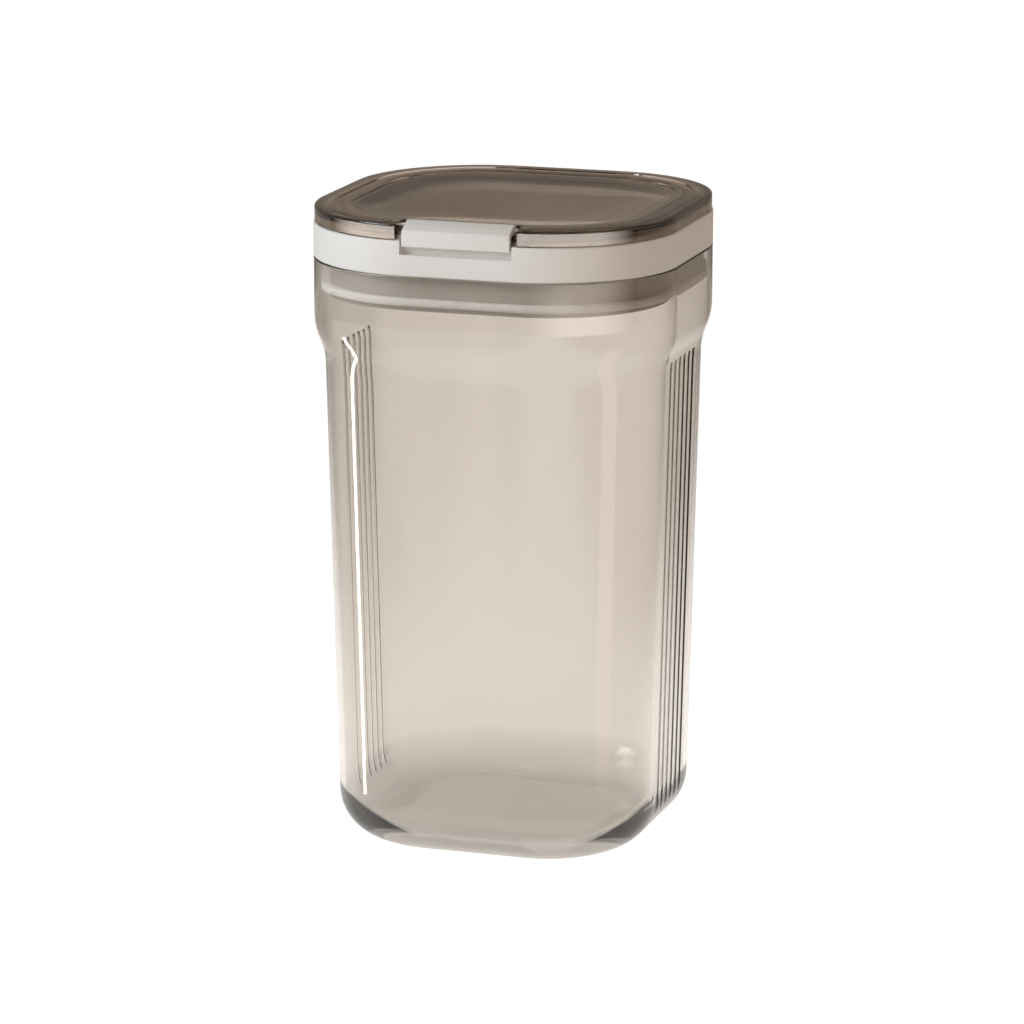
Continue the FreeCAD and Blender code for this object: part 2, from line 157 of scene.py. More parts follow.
def makePiece(name, grids, material, node, body):
    # Joins (grid of points, closed) pairs into one mesh, welds doubled points and turns faces outwards
    # Edges sharper than the limit stay crisp
    points, faces, count = [], [], 0
    for grid, closed in grids:
        points.append(grid.reshape(-1, 3) * mm)
        faces.append(gridFaces(grid.shape[0], grid.shape[1], closed) + count)
        count += grid.shape[0] * grid.shape[1]
    mesh = bpy.data.meshes.new(name)
    mesh.from_pydata(np.vstack(points).tolist(), [], np.vstack(faces).tolist())
    tidy = bmesh.new()
    tidy.from_mesh(mesh)
    bmesh.ops.remove_doubles(tidy, verts=tidy.verts, dist=meshing["weld"] * mm)
    bmesh.ops.dissolve_degenerate(tidy, edges=tidy.edges, dist=meshing["speck"] * mm)
    bmesh.ops.recalc_face_normals(tidy, faces=tidy.faces)
    tidy.to_mesh(mesh)
    tidy.free()
    mesh.shade_smooth()
    mesh.set_sharp_from_angle(angle=math.radians(meshing["sharp"]))
    mesh.materials.append(material)
    piece = bpy.data.objects.new(name, mesh)
    bpy.context.scene.collection.objects.link(piece)
    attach(piece, body)
    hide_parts(node)
    print(f"{name}: {len(mesh.polygons)} faces on {body}")


def hexColor(text):
    # sRGB hex to linear red, green, blue, alpha
    srgb = np.array([int(text[place:place + 2], 16) for place in (1, 3, 5)]) / 255
    linear = np.where(srgb <= 0.04045, srgb / 12.92, ((srgb + 0.055) / 1.055) ** 2.4)
    return (*linear.tolist(), 1.0)


def addNode(tree, kind, settings=None, values=None, links=None):
    node = tree.nodes.new(kind)
    for key, value in (settings or {}).items():
        setattr(node, key, value)
    for key, value in (values or {}).items():
        node.inputs[key].default_value = value
    for key, source in (links or {}).items():
        tree.links.new(source, node.inputs[key])
    return node


def newMaterial(name):
    material = bpy.data.materials.new(name)
    material.use_nodes = True
    material.node_tree.nodes.clear()
    return material, material.node_tree


def clearPlastic(name, tint):
    # Polished clear moulding: sharp gloss, faint flow waves, and a tint that deepens with the plastic
    material, tree = newMaterial(name)
    place = addNode(tree, "ShaderNodeTexCoord")
    waves = addNode(tree, "ShaderNodeTexNoise",
                    values={"Scale": 1 / (tint["waveSize"] * mm), "Detail": 1.0},
                    links={"Vector": place.outputs["Object"]})
    bump = addNode(tree, "ShaderNodeBump",
                   values={"Strength": tint["waveStrength"], "Distance": tint["waveHeight"] * mm},
                   links={"Height": waves.outputs["Fac"]})
    gloss = addNode(tree, "ShaderNodeBsdfPrincipled",
                    values={"Base Color": hexColor(tint["skin"]), "Roughness": tint["roughness"],
                            "IOR": tint["ior"], "Transmission Weight": 1.0},
                    links={"Normal": bump.outputs["Normal"]})
    ray = addNode(tree, "ShaderNodeLightPath")
    through = addNode(tree, "ShaderNodeBsdfTransparent", values={"Color": hexColor(tint["pass"])})
    lampsPass = addNode(tree, "ShaderNodeMixShader",
                        links={0: ray.outputs["Is Shadow Ray"], 1: gloss.outputs[0], 2: through.outputs[0]})
    depth = addNode(tree, "ShaderNodeVolumeAbsorption",
                    values={"Color": hexColor(tint["color"]), "Density": tint["density"]})
    addNode(tree, "ShaderNodeOutputMaterial",
            links={"Surface": lampsPass.outputs[0], "Volume": depth.outputs[0]})
    return material


moulding = {"grainStrength": 0.3, "glowReach": (1.0, 0.8, 0.6), "glowDepth": 1.5}


def mouldedPlastic(name, finish):
    # Satin moulding: two close shades in slow clouds, and a fine grain from the eroded mould
    material, tree = newMaterial(name)
    place = addNode(tree, "ShaderNodeTexCoord")
    clouds = addNode(tree, "ShaderNodeTexNoise",
                     values={"Scale": 1 / (finish["cloudSize"] * mm), "Detail": 2.0},
                     links={"Vector": place.outputs["Object"]})
    shade = addNode(tree, "ShaderNodeMix", settings={"data_type": "RGBA"},
                    values={6: hexColor(finish["light"]), 7: hexColor(finish["dark"])},
                    links={0: clouds.outputs["Fac"]})
    grain = addNode(tree, "ShaderNodeTexNoise",
                    values={"Scale": 1 / (finish["grainSize"] * mm), "Detail": 2.0},
                    links={"Vector": place.outputs["Object"]})
    bump = addNode(tree, "ShaderNodeBump",
                   values={"Strength": moulding["grainStrength"], "Distance": finish["grainHeight"] * mm},
                   links={"Height": grain.outputs["Fac"]})
    body = addNode(tree, "ShaderNodeBsdfPrincipled",
                   values={"Roughness": finish["roughness"], "IOR": finish["ior"],
                           "Subsurface Weight": finish["glow"], "Subsurface Radius": moulding["glowReach"],
                           "Subsurface Scale": moulding["glowDepth"] * mm},
                   links={"Base Color": shade.outputs[2], "Normal": bump.outputs["Normal"]})
    addNode(tree, "ShaderNodeOutputMaterial", links={"Surface": body.outputs[0]})
    return material


wire = {"color": "#C9C8C6", "scratchSize": 0.15, "stretch": 0.02, "smoothest": 0.2, "roughest": 0.4}


def drawnSteel(name):
    # Bright drawn wire: fine scratches along its length stretch the glints
    material, tree = newMaterial(name)
    place = addNode(tree, "ShaderNodeTexCoord")
    stretch = addNode(tree, "ShaderNodeMapping", values={"Scale": (wire["stretch"], 1.0, 1.0)},
                      links={"Vector": place.outputs["Object"]})
    lines = addNode(tree, "ShaderNodeTexNoise",
                    values={"Scale": 1 / (wire["scratchSize"] * mm), "Detail": 2.0},
                    links={"Vector": stretch.outputs[0]})
    rough = addNode(tree, "ShaderNodeMapRange",
                    values={"To Min": wire["smoothest"], "To Max": wire["roughest"]},
                    links={"Value": lines.outputs["Fac"]})
    metal = addNode(tree, "ShaderNodeBsdfPrincipled",
                    values={"Base Color": hexColor(wire["color"]), "Metallic": 1.0},
                    links={"Roughness": rough.outputs[0]})
    addNode(tree, "ShaderNodeOutputMaterial", links={"Surface": metal.outputs[0]})
    return material


clearJar = clearPlastic("clear styrene moulding", {
    "skin": "#E3DFDA", "pass": "#FDFCFB", "color": "#A69A88", "density": 25.0, "ior": 1.53, "roughness": 0.02,
    "waveSize": 30.0, "waveHeight": 0.2, "waveStrength": 0.05,
})
smokyClear = clearPlastic("smoky styrene moulding", {
    "skin": "#C9BDB3", "pass": "#E1DAD3", "color": "#A08460", "density": 60.0, "ior": 1.53, "roughness": 0.03,
    "waveSize": 25.0, "waveHeight": 0.1, "waveStrength": 0.05,
})
whitePlastic = mouldedPlastic("white ABS moulding", {
    "light": "#F1F0EE", "dark": "#EDECE9", "cloudSize": 40.0, "grainSize": 0.5, "grainHeight": 0.01,
    "roughness": 0.36, "ior": 1.5, "glow": 0.0,
})
greyPlastic = mouldedPlastic("frosted grey moulding", {
    "light": "#C6BFB8", "dark": "#BFB7B0", "cloudSize": 30.0, "grainSize": 0.6, "grainHeight": 0.02,
    "roughness": 0.42, "ior": 1.5, "glow": 0.15,
})
silicone = mouldedPlastic("pale silicone moulding", {
    "light": "#F6F3F0", "dark": "#F1EDE9", "cloudSize": 12.0, "grainSize": 0.4, "grainHeight": 0.02,
    "roughness": 0.55, "ior": 1.41, "glow": 0.2,
})
pinSteel = drawnSteel("drawn steel wire")
print("materials done")

# Levels and half widths that several pieces share
levels = {
    "jarTop": 167.2, "neckFoot": 147.6, "shoulderFoot": 139.6,
    "plugFoot": 157.2, "sealFoot": 158.5, "sealTop": 160.8,
    "deckUnder": 174.7, "bandTop": 176.9,
    "coverUnder": 179.6, "rimTop": 181.6, "panelTop": 181.1, "stepTop": 181.45, "coverTop": 181.8,
}
hinge = {"y": 52.0, "z": 177.4, "pinRadius": 1.0, "bore": 1.05, "knuckle": 2.4, "relief": 2.75,
         "coverHalf": 14.0, "bandInner": 14.35, "bandOuter": 21.95, "armFrom": 75.0, "armTo": 185.0,
         "pinHalf": 21.95}
clipAxis = {"y": -46.8, "z": 180.6, "pinRadius": 0.6, "pinHalf": 19.6}
pinPoints = 32

jar = {
    "baseHalf": 45.7, "bodyHalf": 49.05, "neckHalf": 52.0, "wall": 1.6, "floor": 4.0,
    "baseRound": 13.5, "floorRound": 11.9, "shoulderRound": 17.0, "shoulderStep": 0.7, "rimRound": 0.45,
    "underFlat": 30.0, "floorFlat": 25.0,
    "flutes": 6, "flutePitch": 4.4, "fluteRadius": 1.2, "fluteDepth": 0.5, "fluteTop": 139.1,
    "fluteFade": 1.0, "fluteCuts": 9, "fluteMargin": 1.02,
}


def makeJar():
    # Outer wall up, over the rim and down the inner wall, closed on the axis at both ends
    # On two sides the outer wall steps in by the depth of round grooves, which die out in the base rounding
    draft = (jar["bodyHalf"] - jar["baseHalf"]) / levels["shoulderFoot"]
    floorHalf = jar["baseHalf"] + draft * jar["floor"] - jar["wall"]
    section = roundedSection([
        (0, 0), (jar["underFlat"], 0), (jar["baseHalf"], 0, jar["baseRound"]),
        (jar["bodyHalf"], levels["shoulderFoot"], jar["shoulderRound"], jar["shoulderStep"]),
        (jar["neckHalf"], levels["neckFoot"], jar["shoulderRound"]),
        (jar["neckHalf"], levels["jarTop"], jar["rimRound"]),
        (jar["neckHalf"] - jar["wall"], levels["jarTop"], jar["rimRound"]),
        (jar["neckHalf"] - jar["wall"], levels["neckFoot"], jar["shoulderRound"]),
        (jar["bodyHalf"] - jar["wall"], levels["shoulderFoot"], jar["shoulderRound"]),
        (floorHalf, jar["floor"], jar["floorRound"]), (jar["floorFlat"], jar["floor"]), (0, jar["floor"]),
    ], closed=False, step=5.0)
    middles = (np.arange(jar["flutes"]) - (jar["flutes"] - 1) / 2) * jar["flutePitch"]
    width = math.sqrt(jar["fluteRadius"] ** 2 - (jar["fluteRadius"] - jar["fluteDepth"]) ** 2)
    across = np.linspace(-1, 1, jar["fluteCuts"])
    cuts = np.concatenate([[-jar["fluteMargin"]], across, [jar["fluteMargin"]]]) * width
    wallHalf = (jar["bodyHalf"] + jar["baseHalf"]) / 2
    stations = wallStations((middles[:, None] + cuts).ravel(), wallHalf)
    path = planPath({"right": stations, "left": stations})
    # Back from path positions to distances along the body's wall
    straight = lidPlan["straightHalf"]
    shrink = (wallHalf - straight) / (lidPlan["half"] - straight)
    reach = np.abs(path[3])
    along = np.sign(path[3]) * (np.minimum(reach, straight) + np.maximum(reach - straight, 0) * shrink)
    offset = np.abs(along[:, None] - middles).min(axis=1)
    # Depth = circle's height at this offset - the part of the radius that stands outside the wall
    arch = np.sqrt(np.maximum(jar["fluteRadius"] ** 2 - offset ** 2, 0))
    depth = np.maximum(arch - (jar["fluteRadius"] - jar["fluteDepth"]), 0)
    fluted = (path[2] == sides["right"]) | (path[2] == sides["left"])
    depth = np.where(fluted, depth, 0)
    half, level = section[:, :1], section[:, 1:]
    topRow = np.argmax(section[:, 1] >= jar["fluteTop"])
    isOuter = (np.arange(len(section)) <= topRow)[:, None]
    fade = np.clip((jar["fluteTop"] - level) / jar["fluteFade"], 0, 1)
    grooved = jar["baseHalf"] + draft * level - depth * np.sqrt(1 - (1 - fade) ** 2)
    half = np.where(isOuter & (depth > 0), np.minimum(half, grooved), half)
    makePiece("clearJar", [(carry(half, level, path), False)], clearJar, "jar_body", "jar")


band = {
    "bore": 48.65, "pour": 40.0, "edge": 0.5, "smallEdge": 0.25,
    "notchHalf": 15.95, "notchFoot": 173.1, "notchBack": 49.4,
    "beadHalf": 14.55, "beadFoot": 176.3, "beadReach": 0.5,
    "gapFoot": 174.65, "gapBack": 49.25, "step": 0.03,
}


def makeBand():
    # Ring section, stepped in behind the clip and between the hinge knuckles
    outside = lidPlan["half"]
    section = roundedSection([
        (band["bore"], levels["jarTop"], band["smallEdge"]),
        (outside, levels["jarTop"], band["edge"]),
        (outside, band["notchFoot"] - band["step"]), (outside, band["notchFoot"]),
        (outside, band["gapFoot"] - band["step"]), (outside, band["gapFoot"]),
        (outside, band["beadFoot"]),
        (outside, levels["bandTop"], band["edge"]),
        (band["pour"], levels["bandTop"], band["smallEdge"]),
        (band["pour"], levels["deckUnder"], band["smallEdge"]),
        (band["bore"], levels["deckUnder"]),
    ], step=15.0)
    frontEdges = np.array([
        band["notchHalf"], band["notchHalf"] + band["step"],
        band["beadHalf"], band["beadHalf"] + band["step"],
    ])
    backEdges = np.array([hinge["bandInner"], hinge["bandInner"] + band["step"]])
    path = planPath({"front": bothWays(frontEdges), "back": bothWays(backEdges)})
    half, level = section[:, :1], section[:, 1:]
    reach = np.abs(path[3])
    inNotch = (path[2] == sides["front"]) & (reach <= band["notchHalf"] + tiny)
    inBead = (path[2] == sides["front"]) & (reach <= band["beadHalf"] + tiny)
    inGap = (path[2] == sides["back"]) & (reach <= hinge["bandInner"] + tiny)
    beadRise = np.clip((level - band["beadFoot"]) / (levels["bandTop"] - band["beadFoot"]), 0, 1)
    notchBack = band["notchBack"] + beadRise * band["beadReach"] * inBead
    half = np.where(inNotch & (level >= band["notchFoot"]), np.minimum(half, notchBack), half)
    half = np.where(inGap & (level >= band["gapFoot"]), np.minimum(half, band["gapBack"]), half)
    inner, outer = hinge["bandInner"], hinge["bandOuter"]
    knuckles = [
        (tubeAlongX(ends, lambda angles: np.full(len(angles), hinge["knuckle"]),
                    hinge["bore"], (hinge["y"], hinge["z"])), True)
        for ends in ((inner, outer), (-outer, -inner))
    ]
    ring = carry(half, level, path)
    makePiece("whiteBand", [(ring, True), *knuckles], whitePlastic, "lid_band", "lid_frame")


plug = {"outer": 48.6, "inner": 45.6, "groove": 47.4, "edge": 0.3, "sealReach": 50.2, "sealRound": 0.9}


def makePlugAndSeal():
    # Hanging ring with a groove, and the soft ring that sits in the groove
    path = planPath()
    section = roundedSection([
        (plug["inner"], levels["plugFoot"], plug["edge"]), (plug["outer"], levels["plugFoot"], plug["edge"]),
        (plug["outer"], levels["sealFoot"]), (plug["groove"], levels["sealFoot"]),
        (plug["groove"], levels["sealTop"]), (plug["outer"], levels["sealTop"]),
        (plug["outer"], levels["deckUnder"]), (plug["inner"], levels["deckUnder"]),
    ], step=15.0)
    ring = carry(section[:, :1], section[:, 1:], path)
    makePiece("greyPlug", [(ring, True)], greyPlastic, "neck_plug", "lid_frame")
    section = roundedSection([
        (plug["groove"], levels["sealFoot"]), (plug["sealReach"], levels["sealFoot"], plug["sealRound"]),
        (plug["sealReach"], levels["sealTop"], plug["sealRound"]), (plug["groove"], levels["sealTop"]),
    ], step=12.0)
    ring = carry(section[:, :1], section[:, 1:], path)
    makePiece("neckSealRing", [(ring, True)], silicone, "neck_seal", "lid_frame")


cover = {
    "ribFoot": 177.3, "innerRib": 39.6, "gasketInner": 40.8, "gasketOuter": 43.4, "outerRib": 44.6,
    "rimInner": 49.5, "rimOuter": 51.7, "rimFillet": 0.4, "rimFoot": 0.25, "rimRound": 0.8,
    "footRows": (50.2, 51.0), "wallLow": 0.4, "wallHigh": 1.0, "flat": 25.0,
    "step": 46.2, "panel": 41.4, "slope": 0.2, "stepEdge": 0.1,
    "notchHalf": 17.2, "notchBack": 44.8, "earHalf": 20.2, "earFront": 48.3, "earFoot": 179.1,
    "reliefHalf": 22.3, "reliefOut": 51.4, "gasketRound": 0.6, "sliver": 0.03,
}


def makeCover():
    # Underside out to the rim, up over the stepped border and in to the panel, closed on the axis
    # Rows on the rim's wall keep its shading flat, and hair-width rows keep the cut edges crisp
    under, top = levels["coverUnder"], levels["coverTop"]
    sliver = cover["sliver"]
    section = roundedSection([
        (0, under), (cover["flat"], under),
        (cover["innerRib"], under), (cover["innerRib"], cover["ribFoot"]),
        (cover["gasketInner"], cover["ribFoot"]), (cover["gasketInner"], under),
        (cover["gasketOuter"], under), (cover["gasketOuter"], cover["ribFoot"]),
        (cover["outerRib"], cover["ribFoot"]), (cover["outerRib"], under),
        (cover["outerRib"] + 2 * sliver, under),
        (cover["earFront"], under), (cover["earFront"] + sliver, under),
        (cover["rimInner"], under, cover["rimFillet"]), (cover["rimInner"], levels["bandTop"]),
        *((row, levels["bandTop"]) for row in cover["footRows"]),
        (cover["rimOuter"], levels["bandTop"], cover["rimFoot"]),
        (cover["rimOuter"], levels["bandTop"] + cover["wallLow"]),
        (cover["rimOuter"], levels["rimTop"] - cover["wallHigh"]),
        (cover["rimOuter"], levels["rimTop"], cover["rimRound"]),
        (cover["step"] + cover["slope"], top, cover["stepEdge"]),
        (cover["step"], levels["stepTop"], cover["stepEdge"]),
        (cover["notchBack"] + sliver, levels["stepTop"]),
        (cover["panel"] + cover["slope"], levels["stepTop"], cover["stepEdge"]),
        (cover["panel"], levels["panelTop"], cover["stepEdge"]),
        (cover["flat"], levels["panelTop"]), (0, levels["panelTop"]),
    ], closed=False, step=10.0)
    frontEdges = wallStations(np.array([
        cover["notchHalf"], cover["notchHalf"] + sliver, cover["earHalf"], cover["earHalf"] + sliver,
    ]), cover["earFront"])
    backEdges = wallStations(np.array([cover["reliefHalf"], cover["reliefHalf"] + sliver]), lidPlan["half"])
    path = planPath({"front": bothWays(frontEdges), "back": bothWays(backEdges)})
    half, level = np.broadcast_arrays(section[:, :1], section[:, 1:])
    reach = np.abs(path[3])
    onFront = path[2] == sides["front"]
    inNotch = onFront & (reach <= frontEdges[0] + tiny)
    inEar = onFront & (reach >= frontEdges[1] - tiny) & (reach <= frontEdges[2] + tiny)
    inRelief = (path[2] == sides["back"]) & (reach <= backEdges[0] + tiny)
    earRows = (half > cover["outerRib"] + hair) & (half < cover["earFront"] + hair)
    earRows = earRows & (np.abs(level - under) < tiny)
    half, level = half + np.zeros((1, len(reach))), level + np.zeros((1, len(reach)))
    level = np.where(inEar & earRows, cover["earFoot"], level)
    cutNotch = inNotch & (half > cover["notchBack"])
    level = np.where(cutNotch, np.maximum(level, under), level)
    half = np.where(cutNotch, cover["notchBack"], half)
    half = np.where(inRelief, np.minimum(half, cover["reliefOut"]), half)
    rise = hinge["z"] + np.sqrt(np.maximum(hinge["relief"] ** 2 - (half - hinge["y"]) ** 2, 0))
    cutRelief = inRelief & (half > hinge["y"] - hinge["relief"]) & (level < rise)
    level = np.where(cutRelief, rise, level)
    knuckle = tubeAlongX(
        (-hinge["coverHalf"], hinge["coverHalf"]),
        lambda angles: np.where(
            (angles > math.radians(hinge["armFrom"])) & (angles < math.radians(hinge["armTo"])),
            hinge["relief"] + hair, hinge["knuckle"]),
        hinge["bore"], (hinge["y"], hinge["z"]))
    lid = carry(half, level, path)
    ring = roundedSection([
        (cover["gasketInner"], under), (cover["gasketInner"], levels["bandTop"], cover["gasketRound"]),
        (cover["gasketOuter"], levels["bandTop"], cover["gasketRound"]), (cover["gasketOuter"], under),
    ], step=12.0)
    makePiece("smokyCover", [(lid, False), (knuckle, True)], smokyClear, "flip_cover", "cover")
    gasket = carry(ring[:, :1], ring[:, 1:], planPath())
    makePiece("coverGasketRing", [(gasket, True)], silicone, "cover_gasket", "cover")


clip = {
    "half": 15.45, "endRound": 0.4, "endSteps": 6, "front": -52.0, "inside": -50.2,
    "low": 175.3, "lowRound": 0.3, "shoulder": 179.7, "frontRound": 1.1, "barrel": 1.5, "barrelRound": 1.35,
    "innerRound": 0.4, "hookReach": 0.6, "hookHeight": 0.7, "hookRound": 0.15,
}


def makeClip():
    # Upright section carried along X, drawn in at both ends by a quarter round
    y, z = clipAxis["y"], clipAxis["z"]
    hookIn = clip["inside"] + clip["hookReach"]
    section = roundedSection([
        (clip["front"], clip["low"], clip["lowRound"]), (hookIn, clip["low"], clip["hookRound"]),
        (hookIn, clip["low"] + clip["hookHeight"] - clip["hookReach"] / 2),
        (clip["inside"], clip["low"] + clip["hookHeight"]),
        (clip["inside"], z - clip["barrel"], clip["innerRound"]),
        (y + clip["barrel"], z - clip["barrel"], clip["barrelRound"]),
        (y + clip["barrel"], z + clip["barrel"], clip["barrelRound"]),
        (y - clip["barrel"] / 2, z + clip["barrel"]),
        (clip["front"], clip["shoulder"], clip["frontRound"]),
    ], step=10.0)
    edge = np.roll(section, -1, axis=0) - np.roll(section, 1, axis=0)
    inward = np.column_stack([-edge[:, 1], edge[:, 0]]) / np.hypot(*edge.T)[:, None]
    turn = np.linspace(0, math.pi / 2, clip["endSteps"])
    ends = clip["half"] - clip["endRound"] * (1 - np.sin(turn))
    x = np.concatenate([-ends[::-1], ends])
    pull = clip["endRound"] * (1 - np.cos(turn))
    pull = np.concatenate([pull[::-1], pull])
    sheet = section[None] + inward[None] * pull[:, None, None]
    across = np.broadcast_to(x[:, None, None], sheet.shape[:2] + (1,))
    grid = np.concatenate([across, sheet], axis=-1)
    caps = grid[[0, -1]].mean(axis=1, keepdims=True) + np.zeros_like(grid[[0, -1]])
    grid = np.concatenate([caps[:1], grid, caps[1:]])
    makePiece("snapClip", [(grid, False)], whitePlastic, "snap_clip", "clip")


def makePins():
    # Plain rods with eased ends
    for name, node, body, axis in (
        ("hingePin", "hinge_pin", "lid_frame", hinge),
        ("clipPin", "clip_pin", "cover", clipAxis),
    ):
        rod = tubeAlongX((-axis["pinHalf"], axis["pinHalf"]),
                         lambda angles: np.full(len(angles), axis["pinRadius"]),
                         0.0, (axis["y"], axis["z"]), pinPoints)
        makePiece(name, [(rod, True)], pinSteel, node, body)


makeJar()
makeBand()
makePlugAndSeal()
makeCover()
makeClip()
makePins()
print("pieces done")

# Floor, light and camera
stage = {
    "floorHalf": 6.0, "paintedGlowTurn": 18.0, "paintedGlowHalf": 0.09, "paintedGlowEnd": 0.3,
    "paintedShadowHalf": 0.03, "paintedShadowEnd": 0.1, "paintedShadowLevel": 0.4, "floorColor": "#F5F3F0", "floorGlow": 0.76,
    "worldLow": "#BDB1A4", "worldHigh": "#9C8F82", "worldRise": 0.3,
    "worldStrength": 1.0, "worldMirror": 0.62,
    "white": "#FFFFFF", "cardColor": "#FFF4E8",
    "keyPlace": (-0.95, -0.80, 0.75), "keySize": 0.55, "keyPower": 10.6, "keyColor": "#E9F5FF",
    "fillPlace": (1.15, -0.75, 0.45), "fillSize": 0.9, "fillPower": 1.1, "fillColor": "#FFE2C6",
    "aim": (0.0, 0.0, 0.1),
}
photoView = {
    "azimuth": 18.06, "elevation": 13.57, "distance": 1.38157, "lookAt": (0.0, 0.0, 0.085),
    "lens": 171.0, "sensor": 36.0, "shiftX": -0.0026, "shiftY": 0.0200, "farthest": 50.0,
}


def makeFloor():
    half = stage["floorHalf"]
    mesh = bpy.data.meshes.new("floor")
    square = [(-half, -half, 0), (half, -half, 0), (half, half, 0), (-half, half, 0)]
    mesh.from_pydata(square, [], [(0, 1, 2, 3)])
    floor = bpy.data.objects.new("floor", mesh)
    bpy.context.scene.collection.objects.link(floor)
    # White to the eye with the shadow kept
    # For mirrored and bent rays the glow is painted on only in a strip along the view, with a painted shadow
    # dimming it under the jar, so that clear edges stay dark
    material, tree = newMaterial("white paper floor")
    ray = addNode(tree, "ShaderNodeLightPath")
    place = addNode(tree, "ShaderNodeTexCoord")
    # Painted light: the glow that reflections and clear plastic see is laid on only in a strip along the view
    turn = math.radians(stage["paintedGlowTurn"])
    aside = addNode(tree, "ShaderNodeVectorMath", settings={"operation": "DOT_PRODUCT"},
                    values={1: (math.cos(turn), math.sin(turn), 0)}, links={0: place.outputs["Object"]})
    aside = addNode(tree, "ShaderNodeMath", settings={"operation": "ABSOLUTE"},
                    links={0: aside.outputs["Value"]})
    strip = addNode(tree, "ShaderNodeMapRange", settings={"interpolation_type": "SMOOTHSTEP"},
                    values={"From Min": stage["paintedGlowHalf"], "From Max": stage["paintedGlowEnd"],
                            "To Min": 1.0, "To Max": 0.0},
                    links={"Value": aside.outputs[0]})
    bent = addNode(tree, "ShaderNodeMath", settings={"operation": "MAXIMUM"},
                   links={0: ray.outputs["Is Glossy Ray"], 1: ray.outputs["Is Transmission Ray"]})
    away = addNode(tree, "ShaderNodeVectorMath", settings={"operation": "LENGTH"},
                   links={0: place.outputs["Object"]})
    # Painted shadow: the glow seen in reflections and through clear plastic is dimmed under the jar
    paintedShadow = addNode(tree, "ShaderNodeMapRange", settings={"interpolation_type": "SMOOTHSTEP"},
                      values={"From Min": stage["paintedShadowHalf"], "From Max": stage["paintedShadowEnd"],
                              "To Min": stage["paintedShadowLevel"]},
                      links={"Value": away.outputs["Value"]})
    paintedLightAndShadow = addNode(tree, "ShaderNodeMath", settings={"operation": "MULTIPLY"},
                    links={0: strip.outputs[0], 1: paintedShadow.outputs[0]})
    bent = addNode(tree, "ShaderNodeMath", settings={"operation": "MULTIPLY"},
                   links={0: bent.outputs[0], 1: paintedLightAndShadow.outputs[0]})
    seen = addNode(tree, "ShaderNodeMath", settings={"operation": "MAXIMUM"},
                   links={0: ray.outputs["Is Camera Ray"], 1: bent.outputs[0]})
    share = addNode(tree, "ShaderNodeMath", settings={"operation": "MULTIPLY"},
                    values={1: stage["floorGlow"]}, links={0: seen.outputs[0]})
    paper = addNode(tree, "ShaderNodeBsdfDiffuse", values={"Color": hexColor(stage["floorColor"])})
    glow = addNode(tree, "ShaderNodeEmission", values={"Color": hexColor(stage["white"])},
                   links={"Strength": share.outputs[0]})
    both = addNode(tree, "ShaderNodeAddShader", links={0: paper.outputs[0], 1: glow.outputs[0]})
    addNode(tree, "ShaderNodeOutputMaterial", links={"Surface": both.outputs[0]})
    mesh.materials.append(material)


def makeWorld():
    # White to the eye; for light and reflections pale at the horizon and darker overhead
    # Mirrored and bent rays see it dimmer than the light that falls on plain plastic
    world = bpy.data.worlds.new("studio")
    world.use_nodes = True
    tree = world.node_tree
    tree.nodes.clear()
    ray = addNode(tree, "ShaderNodeLightPath")
    place = addNode(tree, "ShaderNodeTexCoord")
    axes = addNode(tree, "ShaderNodeSeparateXYZ", links={0: place.outputs["Generated"]})
    height = addNode(tree, "ShaderNodeMapRange", settings={"interpolation_type": "SMOOTHSTEP"},
                     values={"From Min": 0.0, "From Max": stage["worldRise"]},
                     links={"Value": axes.outputs["Z"]})
    sky = addNode(tree, "ShaderNodeMix", settings={"data_type": "RGBA"},
                  values={6: hexColor(stage["worldLow"]), 7: hexColor(stage["worldHigh"])},
                  links={0: height.outputs[0]})
    level = addNode(tree, "ShaderNodeMapRange",
                    values={"To Min": stage["worldMirror"], "To Max": stage["worldStrength"]},
                    links={"Value": ray.outputs["Is Diffuse Ray"]})
    room = addNode(tree, "ShaderNodeBackground",
                   links={"Color": sky.outputs[2], "Strength": level.outputs[0]})
    white = addNode(tree, "ShaderNodeBackground", values={"Color": hexColor(stage["white"]), "Strength": 1.0})
    mix = addNode(tree, "ShaderNodeMixShader",
                  links={0: ray.outputs["Is Camera Ray"], 1: room.outputs[0], 2: white.outputs[0]})
    addNode(tree, "ShaderNodeOutputWorld", links={"Surface": mix.outputs[0]})
    bpy.context.scene.world = world


def makeLamp(name, place, size, power, color):
    lamp = bpy.data.lights.new(name, "AREA")
    lamp.shape = "SQUARE"
    lamp.size = size
    lamp.energy = power
    lamp.color = hexColor(color)[:3]
    holder = bpy.data.objects.new(name, lamp)
    bpy.context.scene.collection.objects.link(holder)
    holder.location = place
    holder.rotation_euler = (Vector(stage["aim"]) - Vector(place)).to_track_quat("-Z", "Y").to_euler()


# White cards seen only as the glints that they leave on polished plastic
# A flat card has a place, a facing and a width, and a curved one stands a half width away round the front
# Both have a foot and a top in millimetres
cards = {
    "leftStrip": {"place": (-67.7, -47.7), "facing": 73.0, "width": 4.0,
                  "foot": 3.0, "top": 135.0, "strength": 14.0},
    "rightStrip": {"place": (78.8, -47.6), "facing": -76.4, "width": 15.5,
                   "foot": 3.0, "top": 131.0, "strength": 1.8},
    "rimStrip": {"half": 250.0, "foot": 140.0, "top": 149.0, "strength": 9.5, "fade": 160.0},
    "neckStrip": {"half": 250.0, "foot": 108.0, "top": 139.0, "strength": 4.0, "fade": 160.0, "rise": 160.0},
    "stepCard": {"place": (-94.0, -170.0), "facing": 0.0, "width": 150.0,
                 "foot": 410.0, "top": 445.0, "strength": 24.0},
}


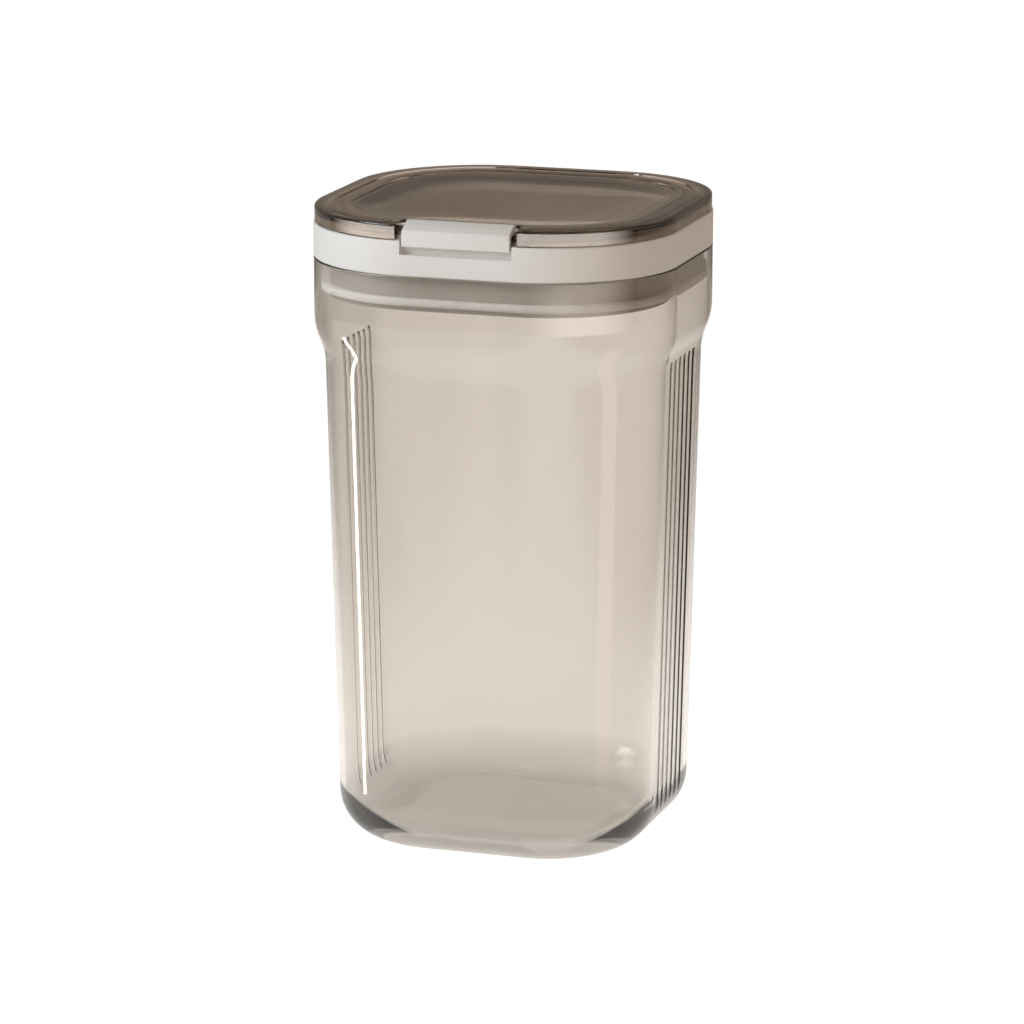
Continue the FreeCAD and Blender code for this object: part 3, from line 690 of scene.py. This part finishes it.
def makeCard(name, card):
    if "half" in card:
        # From the middle of the left side, round the front, to the middle of the right side
        core, normal, number, along = planPath()
        ring = core + normal * (card["half"] - lidPlan["straightHalf"])
        line = np.vstack([
            ring[(number == sides["left"]) & (along > 0)],
            ring[number == sides["front"]],
            ring[(number == sides["right"]) & (along < 0)],
        ])
    else:
        turn = math.radians(card["facing"])
        along = np.array([math.cos(turn), -math.sin(turn)]) * card["width"] / 2
        line = np.array([card["place"] - along, card["place"] + along])
    low = np.column_stack([line, np.full(len(line), card["foot"])])
    high = np.column_stack([line, np.full(len(line), card["top"])])
    here = np.arange(len(line) - 1)
    faces = np.column_stack([here, here + 1, here + 1 + len(line), here + len(line)])
    mesh = bpy.data.meshes.new(name)
    mesh.from_pydata((np.vstack([low, high]) * mm).tolist(), [], faces.tolist())
    material, tree = newMaterial(name + " white card")
    glow = addNode(tree, "ShaderNodeEmission",
                   values={"Color": hexColor(stage["cardColor"]), "Strength": card["strength"]})
    if "fade" in card:
        # Full strength in front, then down to nothing at the middle of the left and right sides
        place = addNode(tree, "ShaderNodeTexCoord")
        axes = addNode(tree, "ShaderNodeSeparateXYZ", links={0: place.outputs["Object"]})
        level = addNode(tree, "ShaderNodeMapRange", settings={"interpolation_type": "SMOOTHSTEP"},
                        values={"From Min": 0.0, "From Max": -card["fade"] * mm, "To Max": card["strength"]},
                        links={"Value": axes.outputs["Y"]})
        if "rise" in card:
            # Nothing at the middle of the front, then up to full strength on the right
            reach = addNode(tree, "ShaderNodeMapRange", settings={"interpolation_type": "SMOOTHSTEP"},
                            values={"From Min": 0.0, "From Max": card["rise"] * mm},
                            links={"Value": axes.outputs["X"]})
            level = addNode(tree, "ShaderNodeMath", settings={"operation": "MULTIPLY"},
                            links={0: level.outputs[0], 1: reach.outputs[0]})
        tree.links.new(level.outputs[0], glow.inputs["Strength"])
    addNode(tree, "ShaderNodeOutputMaterial", links={"Surface": glow.outputs[0]})
    mesh.materials.append(material)
    strip = bpy.data.objects.new(name, mesh)
    bpy.context.scene.collection.objects.link(strip)
    strip.visible_camera = strip.visible_shadow = False
    strip.visible_diffuse = strip.visible_transmission = False


def makeCamera():
    azimuth, elevation = math.radians(photoView["azimuth"]), math.radians(photoView["elevation"])
    flat = math.cos(elevation)
    back = Vector((math.sin(azimuth) * flat, -math.cos(azimuth) * flat, math.sin(elevation)))
    lens = bpy.data.cameras.new("photoCamera")
    lens.lens = photoView["lens"]
    lens.sensor_width = photoView["sensor"]
    lens.shift_x, lens.shift_y = photoView["shiftX"], photoView["shiftY"]
    lens.clip_end = photoView["farthest"]
    camera = bpy.data.objects.new("photoCamera", lens)
    bpy.context.scene.collection.objects.link(camera)
    camera.location = Vector(photoView["lookAt"]) + back * photoView["distance"]
    camera.rotation_euler = back.to_track_quat("Z", "Y").to_euler()
    bpy.context.scene.camera = camera


makeFloor()
makeWorld()
makeLamp("keyLamp", stage["keyPlace"], stage["keySize"], stage["keyPower"], stage["keyColor"])
makeLamp("fillLamp", stage["fillPlace"], stage["fillSize"], stage["fillPower"], stage["fillColor"])
for cardName, cardSizes in cards.items():
    makeCard(cardName, cardSizes)
makeCamera()
scene = bpy.context.scene
scene.view_settings.view_transform = "Standard"
scene.cycles.caustics_reflective = False
print("stage done")
